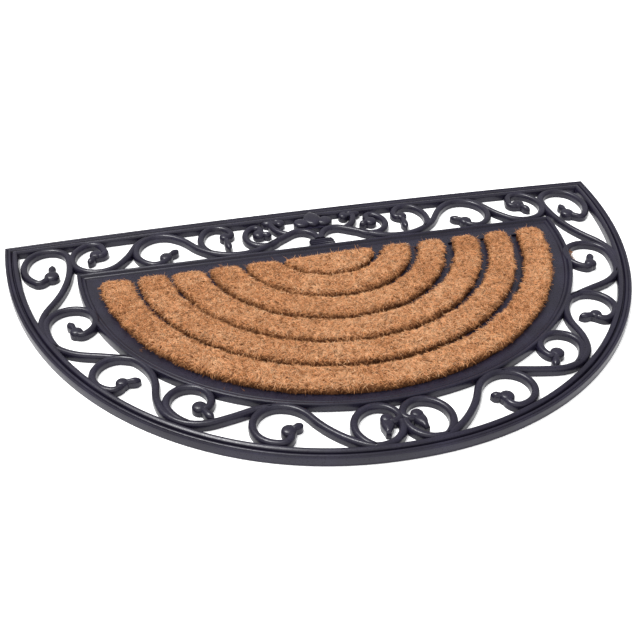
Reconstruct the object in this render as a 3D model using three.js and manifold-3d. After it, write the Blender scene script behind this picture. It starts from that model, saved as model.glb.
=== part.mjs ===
// Half round doormat: a moulded rubber surround with open scrollwork, holding six coir brush inserts.
// Millimetres. X runs along the back edge, +Y points at the back edge and +Z is up.
// The tables below place all with a straight back edge, 450 mm deep. At the end the mat is bowed,
// which moves the origin to the middle of the box that it fills, on the flat underside.

import * as THREE from 'three';
import { mergeVertices } from 'three/addons/utils/BufferGeometryUtils.js';
import Module from 'manifold-3d';

const wasm = await Module();
wasm.setup();

// Mat outline: |x / half width|^power + |y / depth|^power = 1, closed by the back edge.
// Steps are counted round the curve and along the back edge.
const MAT = { halfWidth: 375, depth: 450, edgeY: 225, power: 2.1, steps: 42, edgeSteps: 8 };

// The back edge bows outwards, most in its middle, and draws out what lies between it and the tray
const BOW = { rise: 9, fromY: 147 };

// How deep the straight foot of a bead reaches into the plate or band below it
const BEAD_SINK = 1;

// Outer rim: a flat band with a bead along each of its sides, seen from the outer edge inwards
const RIM_WIDTH = 16;
const RIM_BAND_TOP = 6.5;
const RIM_BEADS = [
  { from: 0.8, to: 6.8, top: 9.2, rounding: 2.2 },
  { from: 9.2, to: 15.4, top: 9.6, rounding: 2.4 },
];

// Tray: a thin plate of the mat's own kind of outline, with two ridges along its edge
const TRAY = { halfWidth: 293, depth: 297, edgeY: 147, power: 2.07, steps: 36, edgeSteps: 1 };
const LAND_TOP = 5.5;
const TRAY_BEADS = [
  { from: 0.3, to: 5.3, top: 9.5, rounding: 2 },
  { from: 6.1, to: 9.6, top: 7.3, rounding: 1.2 },
];

// Coir: a half disc and five half rings around one centre, all cut off along one straight line
const COIR_CENTRE_Y = 135;
const COIR_END_Y = 123;
const COIR_TOP = 15;
const COIR_ROUNDING = 3;
const COIR_ROUNDING_STEPS = 2;
const COIR_BARS = [
  { inner: 64, outer: 101 },
  { inner: 108, outer: 142 },
  { inner: 150, outer: 184 },
  { inner: 191, outer: 224 },
  { inner: 232, outer: 266 },
];
const COIR_CENTRE_RADIUS = 58;
const COIR_ARC_SEGMENTS = 12;
const POCKET_FLOOR = 2.7;
const CLEARANCE = 0.3;

// Scroll bars: a flat bottom, upright sides and a chamfered top
const BAR_WIDTH = 8.5;
const BAR_TOP_WIDTH = 4.2;
const BAR_SIDE_HEIGHT = 6.2;
const BAR_HEIGHT = 9;
const BAR_MAX_TURN = 34;
const BAR_MAX_STEP = 22;

// Balls at the inner ends of the scrolls, and the leaf that grows out of each ball
const BALL = { height: 10, sideHeight: 5.5, shoulderHeight: 9, shoulderShare: 0.7, segments: 8 };
const LEAF = { width: 7.5, top: 8, bevel: 1.5, taperShare: 0.7 };

// Flower and ribbed block in the middle of the back strip
const FLOWER_LOBE = { x: 15, y: 200.5, radius: 9 };
const FLOWER_PETAL = { halfWidth: 9, bottomY: 189, shoulderY: 207, bulgeX: 6, bulgeY: 217, tipY: 224 };
const FLOWER_BODY = { halfWidth: 15, bottomY: 189, topY: 200 };
const FLOWER_TOP = 11.3;
const PETAL_CURVE_SEGMENTS = 3;
const BLOCK = { halfWidth: 13, bottomY: 142, topY: 158.5, top: 8.5 };

// Every piece of the rubber is made a little too deep, and is then cut off at the underside
const UNDERCUT = 3;

// Right-hand scrolls, each a chain of arcs that leave one another in the same direction.
// A scroll starts in its ball, at the heading in degrees anticlockwise from +X.
// A positive turn bends left, a negative one right.
const SCROLLS = {
  corner: {
    start: { x: 321, y: 152, heading: 321 },
    ball: 8,
    leafTip: { x: 320, y: 174 },
    arcs: [
      { radius: 90, turn: -8 },
      { radius: 6, turn: 90 },
      { radius: 43, turn: 73 },
      { radius: 25, turn: 149 },
      { radius: 155, turn: 37 },
      { radius: 65, turn: -105 },
      { radius: 415, turn: 6.5 },
    ],
  },
  sideRing: {
    start: { x: 297, y: 36, heading: 262 },
    ball: 6.5,
    leafTip: { x: 305, y: 55 },
    arcs: [
      { radius: 6, turn: -115 },
      { radius: 26.5, turn: -240 },
      { radius: 100, turn: -25 },
    ],
  },
  side: {
    start: { x: 256, y: -61, heading: 272 },
    ball: 6,
    leafTip: { x: 237, y: -60 },
    arcs: [
      { radius: 9, turn: 110 },
      { radius: 26, turn: 209 },
      { radius: 65, turn: 47 },
      { radius: 75, turn: -22 },
      { radius: 43, turn: -85 },
      { radius: 325, turn: -6 },
      { radius: 54, turn: 25 },
    ],
  },
  lowerRing: {
    start: { x: 186, y: -115, heading: 234 },
    ball: 7,
    leafTip: { x: 175, y: -135 },
    arcs: [
      { radius: 6, turn: -117 },
      { radius: 22, turn: -227 },
      { radius: 55, turn: -30 },
    ],
  },
  front: {
    start: { x: 109, y: -168, heading: 237 },
    ball: 7,
    leafTip: { x: 94, y: -162 },
    arcs: [
      { radius: 8, turn: 20 },
      { radius: 10, turn: 111 },
      { radius: 26, turn: 189 },
      { radius: 37, turn: 49 },
      { radius: 120, turn: -31 },
      { radius: 27, turn: -129 },
    ],
  },
  frontRing: {
    start: { x: 15, y: -173, heading: 244 },
    ball: 6,
    leafTip: { x: 19, y: -194 },
    arcs: [
      { radius: 7, turn: -167 },
      { radius: 21, turn: -95 },
      { radius: 28, turn: -88 },
      { radius: 38, turn: -35 },
    ],
  },
  outerBack: {
    start: { x: 269, y: 186, heading: 238 },
    ball: 7,
    leafTip: { x: 278, y: 169 },
    arcs: [
      { radius: 6, turn: -166 },
      { radius: 95, turn: 5 },
      { radius: 14, turn: -105 },
      { radius: 31, turn: -198 },
      { radius: 100, turn: -20 },
      { radius: 37, turn: 41 },
    ],
  },
  back: {
    start: { x: 188, y: 162, heading: 248 },
    ball: 7,
    leafTip: { x: 172, y: 174 },
    arcs: [
      { radius: 6, turn: 64 },
      { radius: 15, turn: 81 },
      { radius: 30, turn: 179 },
      { radius: 60, turn: 28 },
      { radius: 65, turn: -92 },
      { radius: 1100, turn: 2 },
      { radius: 20, turn: 124 },
    ],
  },
  backRing: {
    start: { x: 113, y: 189, heading: 204 },
    ball: 6,
    leafTip: { x: 111, y: 163 },
    arcs: [
      { radius: 6, turn: -123 },
      { radius: 18, turn: -136 },
      { radius: 34, turn: -79 },
    ],
  },
  innerBackRing: {
    start: { x: 71, y: 186, heading: 126 },
    ball: 7,
    leafTip: { x: 56, y: 182 },
    arcs: [
      { radius: 17, turn: -25 },
      { radius: 7, turn: -133 },
      { radius: 21, turn: -198 },
    ],
  },
  flowerSide: {
    start: { x: 41, y: 204, heading: 95 },
    ball: 5.5,
    leafTip: { x: 64, y: 208 },
    arcs: [
      { radius: 6, turn: -187 },
      { radius: 29, turn: -61 },
    ],
  },
};

const RUBBER = { color: 0x40404a, roughness: 0.55, metalness: 0 };
const COIR = { color: 0xc8935e, roughness: 1, metalness: 0 };

// The step of a given length to the left of a heading
function sideways(heading, length) {
  return new THREE.Vector2(-length * Math.sin(heading), length * Math.cos(heading));
}

// A path in plan made of arcs, which the extruded bar follows step by step
class ArcChain extends THREE.Curve {
  constructor(start, arcs) {
    super();
    this.arcs = [];
    this.steps = 0;
    let point = new THREE.Vector2(start.x, start.y);
    let heading = THREE.MathUtils.degToRad(start.heading);
    for (const { radius, turn } of arcs) {
      const sweep = THREE.MathUtils.degToRad(turn);
      const reach = Math.sign(turn) * radius;
      const centre = point.clone().add(sideways(heading, reach));
      const stepsByTurn = Math.abs(turn) / BAR_MAX_TURN;
      const stepsByLength = radius * Math.abs(sweep) / BAR_MAX_STEP;
      const steps = Math.ceil(Math.max(stepsByTurn, stepsByLength));
      this.arcs.push({ centre, reach, heading, sweep, firstStep: this.steps, steps });
      this.steps += steps;
      heading += sweep;
      point = centre.clone().sub(sideways(heading, reach));
    }
  }

  // The arc at t and the heading there: equal parts of t are equal steps, not equal lengths
  locate(t) {
    const step = t * this.steps;
    const arc = this.arcs.findLast((candidate) => candidate.firstStep <= step);
    const heading = arc.heading + arc.sweep * (step - arc.firstStep) / arc.steps;
    return { arc, heading };
  }

  getPoint(t, target = new THREE.Vector3()) {
    const { arc, heading } = this.locate(t);
    const point = arc.centre.clone().sub(sideways(heading, arc.reach));
    return target.set(point.x, point.y, 0);
  }

  getTangent(t, target = new THREE.Vector3()) {
    const { heading } = this.locate(t);
    return target.set(Math.cos(heading), Math.sin(heading), 0);
  }

  getUtoTmapping(u) {
    return u;
  }
}

// A closed geometry as a solid that can be joined and cut
function toSolid(geometry) {
  geometry.deleteAttribute('normal');
  geometry.deleteAttribute('uv');
  const merged = mergeVertices(geometry);
  const mesh = new wasm.Mesh({
    numProp: 3,
    vertProperties: merged.attributes.position.array,
    triVerts: Uint32Array.from(merged.index.array),
  });
  return new wasm.Manifold(mesh);
}

// A solid as a geometry again
function toGeometry(solid) {
  const mesh = solid.getMesh();
  const geometry = new THREE.BufferGeometry();
  geometry.setAttribute('position', new THREE.BufferAttribute(mesh.vertProperties, mesh.numProp));
  geometry.setIndex(new THREE.BufferAttribute(mesh.triVerts, 1));
  geometry.computeVertexNormals();
  return geometry;
}

// A plain upright extrusion of a shape between two heights
function prism(shape, bottom, top, curveSegments) {
  const depth = top - bottom;
  const geometry = new THREE.ExtrudeGeometry(shape, { depth, bevelEnabled: false, curveSegments });
  geometry.translate(0, 0, bottom);
  return toSolid(geometry);
}

// An upright extrusion whose top edge is rounded outwards from the shape, by the size of the rounding
function roundedPrism(shape, bottom, top, rounding, bevelSegments, curveSegments) {
  const geometry = new THREE.ExtrudeGeometry(shape, {
    depth: top - bottom - 2 * rounding,
    bevelThickness: rounding,
    bevelSize: rounding,
    bevelSegments,
    curveSegments,
  });
  geometry.translate(0, 0, bottom + rounding);
  return toSolid(geometry);
}

// Points of a half round outline moved inwards by an inset: round the curve from its left-hand corner
// to the right one, and back along the edge
function domePoints(dome, inset) {
  const { steps, edgeSteps } = dome;
  const sineAtEdge = (inset / dome.depth) ** (dome.power / 2);
  const firstAngle = Math.asin(sineAtEdge);
  const points = [];
  for (let i = 0; i <= steps; i += 1) {
    const angle = Math.PI - firstAngle - (Math.PI - 2 * firstAngle) * i / steps;
    const side = Math.sign(Math.cos(angle));
    const x = Math.abs(Math.cos(angle)) ** (2 / dome.power);
    const y = Math.sin(angle) ** (2 / dome.power);
    const outward = new THREE.Vector2(
      side * x ** (dome.power - 1) / dome.halfWidth,
      -(y ** (dome.power - 1)) / dome.depth,
    ).normalize();
    const point = new THREE.Vector2(side * x * dome.halfWidth, dome.edgeY - y * dome.depth);
    points.push(point.addScaledVector(outward, -inset));
  }
  const [first] = points;
  const last = points[steps];
  first.y = dome.edgeY - inset;
  last.y = dome.edgeY - inset;
  for (let i = 1; i < edgeSteps; i += 1) {
    points.push(last.clone().lerp(first, i / edgeSteps));
  }
  return points;
}

// A band that follows a half round outline between two insets, mitred at the corners
function bandShape(dome, from, to) {
  const shape = new THREE.Shape(domePoints(dome, from));
  shape.holes.push(new THREE.Path(domePoints(dome, to)));
  return shape;
}

// Rounded beads along a half round outline, sunk a little into what carries them
function beads(dome, rows, base) {
  return rows.map(({ from, to, top, rounding }) => {
    const shape = bandShape(dome, from + rounding, to - rounding);
    return roundedPrism(shape, base - rounding - BEAD_SINK, top, rounding, 1);
  });
}

function makeRim() {
  const band = prism(bandShape(MAT, 0, RIM_WIDTH), -UNDERCUT, RIM_BAND_TOP);
  return [band, ...beads(MAT, RIM_BEADS, RIM_BAND_TOP)];
}

// The plan of one coir piece: a half ring or, without an inner radius, a half disc, grown by a margin
function coirShape({ inner, outer }, margin) {
  const rise = COIR_END_Y + margin - COIR_CENTRE_Y;
  const outerEnd = Math.asin(rise / (outer + margin));
  const shape = new THREE.Shape();
  shape.absarc(0, COIR_CENTRE_Y, outer + margin, outerEnd, -Math.PI - outerEnd, true);
  if (inner > 0) {
    const innerEnd = Math.asin(rise / (inner - margin));
    shape.absarc(0, COIR_CENTRE_Y, inner - margin, -Math.PI - innerEnd, innerEnd, false);
  }
  shape.closePath();
  return shape;
}

function makeTray() {
  const plate = prism(new THREE.Shape(domePoints(TRAY, 0)), -UNDERCUT, LAND_TOP);
  return [plate, ...beads(TRAY, TRAY_BEADS, LAND_TOP)];
}

function makePocket(ring) {
  return prism(coirShape(ring, CLEARANCE), POCKET_FLOOR, COIR_TOP, COIR_ARC_SEGMENTS);
}

// Section of a scroll bar: its x runs down and its y runs across the path
function barSection() {
  return new THREE.Shape([
    new THREE.Vector2(UNDERCUT, -BAR_WIDTH / 2),
    new THREE.Vector2(UNDERCUT, BAR_WIDTH / 2),
    new THREE.Vector2(-BAR_SIDE_HEIGHT, BAR_WIDTH / 2),
    new THREE.Vector2(-BAR_HEIGHT, BAR_TOP_WIDTH / 2),
    new THREE.Vector2(-BAR_HEIGHT, -BAR_TOP_WIDTH / 2),
    new THREE.Vector2(-BAR_SIDE_HEIGHT, -BAR_WIDTH / 2),
  ]);
}

function makeBar(scroll) {
  const path = new ArcChain(scroll.start, scroll.arcs);
  return toSolid(new THREE.ExtrudeGeometry(barSection(), { steps: path.steps, extrudePath: path }));
}

// A low ball: upright sides and a domed top
function makeBall({ x, y }, radius) {
  const profile = [
    new THREE.Vector2(0, -UNDERCUT),
    new THREE.Vector2(radius, -UNDERCUT),
    new THREE.Vector2(radius, BALL.sideHeight),
    new THREE.Vector2(radius * BALL.shoulderShare, BALL.shoulderHeight),
    new THREE.Vector2(0, BALL.height),
  ];
  const geometry = new THREE.LatheGeometry(profile, BALL.segments);
  geometry.rotateX(Math.PI / 2);
  geometry.translate(x, y, 0);
  return toSolid(geometry);
}

// A pointed leaf from the middle of a ball to its tip
function makeLeaf({ start, leafTip }) {
  const length = Math.hypot(leafTip.x - start.x, leafTip.y - start.y) - LEAF.bevel;
  const half = LEAF.width / 2 - LEAF.bevel;
  const shape = new THREE.Shape();
  shape.moveTo(0, -half);
  shape.lineTo(length * LEAF.taperShare, -half);
  shape.lineTo(length, 0);
  shape.lineTo(length * LEAF.taperShare, half);
  shape.lineTo(0, half);
  shape.closePath();
  const geometry = new THREE.ExtrudeGeometry(shape, {
    depth: LEAF.top - LEAF.bevel + UNDERCUT,
    bevelThickness: LEAF.bevel,
    bevelSize: LEAF.bevel,
    bevelSegments: 1,
  });
  geometry.rotateZ(Math.atan2(leafTip.y - start.y, leafTip.x - start.x));
  geometry.translate(start.x, start.y, -UNDERCUT);
  return toSolid(geometry);
}

// The same scroll on the left-hand side
function mirrored(scroll) {
  const { start, leafTip, arcs } = scroll;
  return {
    ...scroll,
    start: { x: -start.x, y: start.y, heading: 180 - start.heading },
    leafTip: { x: -leafTip.x, y: leafTip.y },
    arcs: arcs.map(({ radius, turn }) => ({ radius, turn: -turn })),
  };
}

function makeScroll(scroll) {
  const { start, ball } = scroll;
  return [makeBar(scroll), makeBall(start, ball), makeLeaf(scroll)];
}

function rectangle(halfWidth, bottomY, topY) {
  return new THREE.Shape([
    new THREE.Vector2(-halfWidth, bottomY),
    new THREE.Vector2(halfWidth, bottomY),
    new THREE.Vector2(halfWidth, topY),
    new THREE.Vector2(-halfWidth, topY),
  ]);
}

// A pointed petal between two round lobes, standing on a short body
function makeFlower() {
  const { halfWidth, bottomY, shoulderY, bulgeX, bulgeY, tipY } = FLOWER_PETAL;
  const petal = new THREE.Shape();
  petal.moveTo(-halfWidth, bottomY);
  petal.lineTo(halfWidth, bottomY);
  petal.lineTo(halfWidth, shoulderY);
  petal.quadraticCurveTo(bulgeX, bulgeY, 0, tipY);
  petal.quadraticCurveTo(-bulgeX, bulgeY, -halfWidth, shoulderY);
  petal.closePath();
  const body = rectangle(FLOWER_BODY.halfWidth, FLOWER_BODY.bottomY, FLOWER_BODY.topY);
  return [
    prism(petal, -UNDERCUT, FLOWER_TOP, PETAL_CURVE_SEGMENTS),
    prism(body, -UNDERCUT, BAR_SIDE_HEIGHT),
    makeBall({ x: FLOWER_LOBE.x, y: FLOWER_LOBE.y }, FLOWER_LOBE.radius),
    makeBall({ x: -FLOWER_LOBE.x, y: FLOWER_LOBE.y }, FLOWER_LOBE.radius),
  ];
}

function makeBlock() {
  return [prism(rectangle(BLOCK.halfWidth, BLOCK.bottomY, BLOCK.topY), -UNDERCUT, BLOCK.top)];
}

// All that lies below the underside, which is cut off
function belowUnderside() {
  return prism(rectangle(MAT.halfWidth * 2, -MAT.depth, MAT.depth), -2 * UNDERCUT, 0);
}

function makeRubber(pockets) {
  const rightHand = Object.values(SCROLLS);
  const scrolls = [...rightHand, ...rightHand.map(mirrored)];
  const middle = [...makeFlower(), ...makeBlock()];
  const pieces = [...makeRim(), ...makeTray(), ...scrolls.flatMap(makeScroll), ...middle];
  const joined = pieces.reduce((whole, piece) => whole.add(piece));
  const cuts = [...pockets.map(makePocket), belowUnderside()];
  return cuts.reduce((whole, cut) => whole.subtract(cut), joined);
}

// One coir piece: upright sides out of its pocket, and a rounded top edge
function makeCoir(ring) {
  const bottom = POCKET_FLOOR + CLEARANCE;
  const start = bottom - 2 * COIR_ROUNDING;
  const shape = coirShape(ring, -COIR_ROUNDING);
  const pile = roundedPrism(shape, start, COIR_TOP, COIR_ROUNDING, COIR_ROUNDING_STEPS, COIR_ARC_SEGMENTS);
  const below = prism(rectangle(MAT.halfWidth * 2, -MAT.depth, MAT.depth), start - 1, bottom);
  return pile.subtract(below);
}

// The solid with the back edge's bow, centred on the mat's box
function bowed(solid) {
  return solid.warp((vertex) => {
    const [x, y] = vertex;
    const share = THREE.MathUtils.clamp((y - BOW.fromY) / (MAT.edgeY - BOW.fromY), 0, 1);
    const rise = BOW.rise * (1 - (x / MAT.halfWidth) ** 2);
    vertex[1] = y + rise * share - BOW.rise / 2;
  });
}

function makeMesh(name, solid, look) {
  const material = new THREE.MeshStandardMaterial(look);
  const mesh = new THREE.Mesh(toGeometry(bowed(solid)), material);
  mesh.name = name;
  return mesh;
}

const centre = { inner: 0, outer: COIR_CENTRE_RADIUS };
const doormat = new THREE.Group();
doormat.add(makeMesh('rubber_surround', makeRubber([centre, ...COIR_BARS]), RUBBER));
doormat.add(makeMesh('coir_centre', makeCoir(centre), COIR));
COIR_BARS.forEach((ring, index) => {
  doormat.add(makeMesh(`coir_bar_${index + 1}`, makeCoir(ring), COIR));
});

export default doormat;
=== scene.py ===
"""Half round doormat: the looks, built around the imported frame.

A moulded rubber surround with open scrollwork holds six inserts of coir pile.
The tables below are in millimetres, as the part's own are: X runs along the back edge, +Y points at
the back edge and +Z is up. They place all with a straight back edge, 450 mm deep. Bowing the mat at
the end moves the origin under the middle of its box.
"""

import math

import bmesh
import bpy
import numpy as np
from mathutils import Matrix, Vector


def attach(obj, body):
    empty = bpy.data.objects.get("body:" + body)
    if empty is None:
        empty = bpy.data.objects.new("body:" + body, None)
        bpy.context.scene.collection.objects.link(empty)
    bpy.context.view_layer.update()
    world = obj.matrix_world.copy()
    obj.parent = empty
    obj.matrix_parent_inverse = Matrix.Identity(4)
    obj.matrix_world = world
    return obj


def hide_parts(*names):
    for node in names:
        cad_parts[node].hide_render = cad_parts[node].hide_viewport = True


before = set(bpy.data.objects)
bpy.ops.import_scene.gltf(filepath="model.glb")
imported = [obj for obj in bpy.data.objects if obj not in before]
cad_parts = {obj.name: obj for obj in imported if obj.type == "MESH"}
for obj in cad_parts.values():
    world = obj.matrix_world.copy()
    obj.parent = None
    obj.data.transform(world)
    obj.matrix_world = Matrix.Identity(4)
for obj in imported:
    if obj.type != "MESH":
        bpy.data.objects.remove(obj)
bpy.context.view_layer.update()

bl_info = {
    "name": "Half round doormat",
    "version": (1, 0, 0),
    "blender": (4, 5, 0),
    "location": "View3D > Sidebar > Doormat",
    "description": "Builds a half round rubber doormat with coir inserts",
    "category": "Object",
}

MM = 0.001
BODY = "root"

# Mat outline: |x / half width|^power + |y / depth|^power = 1, closed by the back edge.
# Steps are counted round the curve and along the back edge.
MAT = {"half_width": 375, "depth": 450, "edge_y": 225, "power": 2.1, "steps": 260, "edge_steps": 60}

# The back edge bows outwards, most in its middle, and draws out what lies between it and the tray
BOW = {"rise": 9, "from_y": 147}

# Section of the rim as (inset from the outer edge, height): a thin lip along the outer wall, a fine
# groove, a low flat bead, a deep groove and the higher inner bead
RIM_PROFILE = (
    (0, 0), (0.2, 4), (0.4, 7.6), (0.7, 8.5), (1.3, 9), (2.1, 9), (3, 8.5), (3.6, 7.9), (4, 7.5),
    (4.4, 7.9), (5, 8.4), (6, 8.6), (7, 8.3), (7.5, 7.6), (7.9, 6), (8.3, 5), (8.9, 5), (9.3, 6.4),
    (9.7, 8.2), (10.2, 8.9), (11, 9.25), (12, 9.55), (13, 9.7), (14, 9.6), (14.8, 9), (15.4, 7.8),
    (15.7, 5.8), (15.8, 3), (16, 0),
)

# The tray has the mat's own kind of outline. Its section runs from the outer wall to the flat land.
TRAY = {"half_width": 293, "depth": 297, "edge_y": 147, "power": 2.07, "steps": 220, "edge_steps": 40}
TRAY_PROFILE = (
    (0, 0), (0.2, 4), (0.4, 7.6), (1, 8.9), (2.2, 9.5), (3.4, 9.4), (4.6, 8.6), (5.2, 7.2),
    (5.6, 6.5), (6.1, 6.6), (6.8, 7.2), (8, 7.4), (9, 7), (9.6, 6.1), (10.2, 5.5),
)
LAND_TOP = TRAY_PROFILE[-1][1]

# Coir: a half disc and five half rings around one centre, all cut off along one straight line. The
# line is 3.5 mm further forward than in the solids, as the photograph shows it.
COIR_CENTRE_Y = 135
COIR_END_Y = 119.5
COIR_TOP = 15
COIR_BOTTOM = 3
COIR_RINGS = {
    "coir_centre": (0, 58),
    "coir_bar_1": (64, 101),
    "coir_bar_2": (108, 142),
    "coir_bar_3": (150, 184),
    "coir_bar_4": (191, 224),
    "coir_bar_5": (232, 266),
}
POCKET_FLOOR = 2.7
POCKET_CLEARANCE = 0.3
POCKET_ARC_STEPS = 72

# Section of a scroll bar as (distance across, height), from the left foot over the top to the right foot
BAR_SECTION = (
    (4.25, 0), (4.25, 4.6), (4.1, 6), (3.7, 7.2), (3, 8.2), (2, 8.9), (0.8, 9.25), (-0.8, 9.25),
    (-2, 8.9), (-3, 8.2), (-3.7, 7.2), (-4.1, 6), (-4.25, 4.6), (-4.25, 0),
)
BAR_TURN_STEP = 9
BAR_LENGTH_STEP = 8

# Section of a ball as (share of its radius, height)
BALL_PROFILE = (
    (0, 0), (1, 0), (1, 5), (0.98, 6.5), (0.92, 7.8), (0.81, 8.7), (0.64, 9.3), (0.35, 9.7),
    (0, 9.8),
)
BALL_STEPS = 26
MERGE_DISTANCE = 0.001

# Outline of a leaf as (share of its length from the ball's middle, half width): most end in a pointed
# bud, and the two at the front hang from their balls as blunt wedges
BUD_OUTLINE = ((0, 3.4), (0.4, 3.5), (0.56, 4.4), (0.7, 4.6), (0.82, 3.9), (0.92, 2.4), (1, 0.7))
WEDGE_OUTLINE = ((0, 6.4), (0.3, 6.8), (0.48, 6.3), (0.66, 4.8), (0.84, 3.4), (1, 2.6))

# Right-hand scrolls. Each starts in its ball at (x, y, heading in degrees anticlockwise from +X) and
# follows arcs of (radius, turn in degrees), where a positive turn bends left.
SCROLLS = {
    "corner": {
        "start": (321, 152, 321),
        "ball": 8.8,
        "leaf_tip": (320, 174),
        "arcs": ((90, -8), (6, 90), (43, 73), (25, 149), (155, 37), (65, -105), (415, 6.5)),
    },
    "side_ring": {
        "start": (297, 36, 262),
        "ball": 7.3,
        "leaf_tip": (305, 55),
        "arcs": ((6, -115), (26.5, -240), (100, -25)),
    },
    "side": {
        "start": (256, -61, 272),
        "ball": 6.8,
        "leaf_tip": (237, -60),
        "arcs": ((9, 110), (26, 209), (65, 47), (75, -22), (43, -85), (325, -6), (54, 25)),
    },
    "lower_ring": {
        "start": (186, -115, 234),
        "ball": 7.8,
        "leaf_tip": (175, -135),
        "arcs": ((6, -117), (22, -227), (55, -30)),
    },
    "front": {
        "start": (109, -168, 237),
        "ball": 7.8,
        "leaf_tip": (94, -162),
        "arcs": ((8, 20), (10, 111), (26, 189), (37, 49), (120, -31), (27, -129)),
    },
    "front_ring": {
        "start": (15, -173, 244),
        "ball": 6.8,
        "leaf_tip": (19, -194),
        "leaf": WEDGE_OUTLINE,
        "arcs": ((7, -167), (21, -95), (28, -88), (38, -35)),
    },
    "outer_back": {
        "start": (269, 186, 238),
        "ball": 7.8,
        "leaf_tip": (278, 169),
        "arcs": ((6, -166), (95, 5), (14, -105), (31, -198), (100, -20), (37, 41)),
    },
    "back": {
        "start": (188, 162, 248),
        "ball": 7.8,
        "leaf_tip": (172, 174),
        "arcs": ((6, 64), (15, 81), (30, 179), (60, 28), (65, -92), (1100, 2), (20, 124)),
    },
    "back_ring": {
        "start": (113, 189, 204),
        "ball": 6.8,
        "leaf_tip": (111, 163),
        "arcs": ((6, -123), (18, -136), (34, -79)),
    },
    "inner_back_ring": {
        "start": (71, 186, 126),
        "ball": 7.8,
        "leaf_tip": (56, 182),
        "arcs": ((17, -25), (7, -133), (21, -198)),
    },
    "flower_side": {
        "start": (41, 204, 95),
        "ball": 6.3,
        "leaf_tip": (64, 208),
        "arcs": ((6, -187), (29, -61)),
    },
}

# Where a leaf's crown is highest, as a share of its length
LEAF_CENTRE = 0.6

# Section of a leaf, and of the flower's petal and lobes, as (share of its outline, height)
LEAF_SECTION = (
    (1, 0), (1, 5.4), (0.96, 6.8), (0.84, 8), (0.62, 8.9), (0.34, 9.5), (0.1, 9.7),
)
PETAL_SECTION = (
    (1, 0), (1, 7.4), (0.98, 8.7), (0.93, 9.8), (0.83, 10.6), (0.62, 11), (0.3, 11.2),
)
LOBE_SECTION = (
    (1, 0), (1, 6.4), (0.98, 7.9), (0.92, 9), (0.82, 9.8), (0.6, 10.2), (0.25, 10.4),
)

# The flower: the right half of its petal's outline, its right lobe and the short body below them
PETAL_OUTLINE = (
    (2.2, 188.5), (7, 191.5), (10.6, 196), (11.8, 201), (10.8, 206), (7.6, 211), (3.8, 215),
    (0, 218.5),
)
PETAL_CENTRE = (0, 202)
LOBE_OUTLINE = (
    (4, 194), (7.6, 190.4), (12.6, 188.6), (17.8, 189), (22, 191.4), (24.4, 195.4), (24.4, 199.8),
    (21.8, 203.6), (17.4, 205.6), (12.2, 205), (7.5, 202), (4.4, 198.2),
)
LOBE_CENTRE = (15, 197)
FLOWER_BODY = {"half_width": 14, "bottom_y": 185, "top_y": 194, "top": 7.6, "crown": 1}

# The block under the flower, which carries the back scrolls: its crown is the rounding of its upper
# edge, and the radius that of its two back corners in plan
BLOCK = {"half_width": 15.5, "bottom_y": 142, "top_y": 160, "top": 8.6, "crown": 0.9}
BLOCK_RADIUS = 5

# The ribs across the block: their number, the share of their pitch that they fill, the height of their
# foot, how far their shoulder lies below the block's top, and how far they rise above it
RIBS = {"count": 5, "share": 0.84, "foot": 2, "sink": 0.3, "rise": 1}

CORNER_STEPS = 6
CROWN_STEPS = 2
RIB_CROWN_STEPS = 3

# Edges of the rubber sharper than this, in degrees, stay crisp
SHARP_ANGLE = 30

# Camera, fitted to the photograph: millimetres, and degrees of view across the frame
CAMERA = {"place": (-240.1, -846.2, 629.8), "target": (-38.5, 5.2, 0), "view": 35.9}

# Where the lights shine from, in metres: the softbox above and behind the mat, a little to the left,
# and the broad light in front of it, as wide as an angle in degrees
KEY_PLACE = (-0.5, 0.7, 2.2)
FILL_PLACE = (-0.4, -1.6, 1.2)
FILL_SPREAD = 80

# The pile. Its upper edges and its corners in plan are round, and its matted core lies below its tips.
PILE_SEED = 41
EDGE_ROUNDING = 4.6
CORNER_ROUNDING = 10
CORE_INSET = 2.6
CORE_TOP = 12
CORE_CROWN = 1.5
CORE_SHOULDER_SHARE = 0.3

# How far the pile spreads over its insert's own edge: a mean, more of it to the left and in front,
# and random lumps and tufts
SPREAD = {"mean": -1.1, "left": 1.5, "front": 1, "lumps": 0.8, "tufts": 0.8}
SPREAD_SEED = 7
LUMP_SIZE = 9
TUFT_SIZE = 3.5
LATTICE_MARGIN = 3

# At the ends of its bars the pile leans outwards by this much, and at the front not at all
OUTWARD_SHIFT = 2

# How far short of the line the pile stops: a mean, and more of it at the left end
END_SHORTFALL = {"mean": 1.2, "left": 1.5}

# Fibres along the top: how far they lie over, in degrees, and how uneven the matted surface is. Their
# middles sink below the top, and each turns away from its tuft's direction, in radians.
TOP_TILT = {"mean": 68, "spread": 13, "least": 12, "most": 86}
TOP_TURN = 1
TOP_SINK = 0.6
TOP_BUMPS = {"lumps": 0.55, "tufts": 0.5, "single": 0.38}
PIT_SIZE = 3
PIT_LEVEL = 0.6
PIT_DEPTH = 1.6

# Their length as a share of the mean, and the share of it that lies behind the fibre's middle
TOP_LENGTH = (0.6, 1.35)
ROOT_SHARE = 0.65

# How strongly the fibres near an edge lean out over it, and how far from it they begin to
EDGE_LEAN = 0.45
EDGE_REACH = 6

# Tones of the fibres, from 0, dark, to 1, light. Painted shade lowers them in the pits, over the rounded
# upper edge, down the sides and at the roots.
TOP_TONE = {"mean": 0.73, "spread": 0.16, "lumps": 0.11, "patches": 0.1}
PATCH_SIZE = 26
# Painted shade in the pits between the tufts
PIT_PAINTED_SHADE = 0.12
EDGE_PAINTED_SHADE = 0.6
# Painted shade over the rounded upper edge, where the top turns down into the side
SIDE_TONE_DROP = 0.08
DARK_FIBRE_SHARE = 0.12
DARK_FIBRE_TONE = (0, 0.28)
# Painted shade on the sides of the pile, darkest at their foot, with random spread and lumps
WALL_TONE_AND_SHADE = {"low": 0, "high": 0.22, "spread": 0.1, "lumps": 0.06}
# Painted shade at each fibre's root
ROOT_PAINTED_SHADE = 0.16

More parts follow.
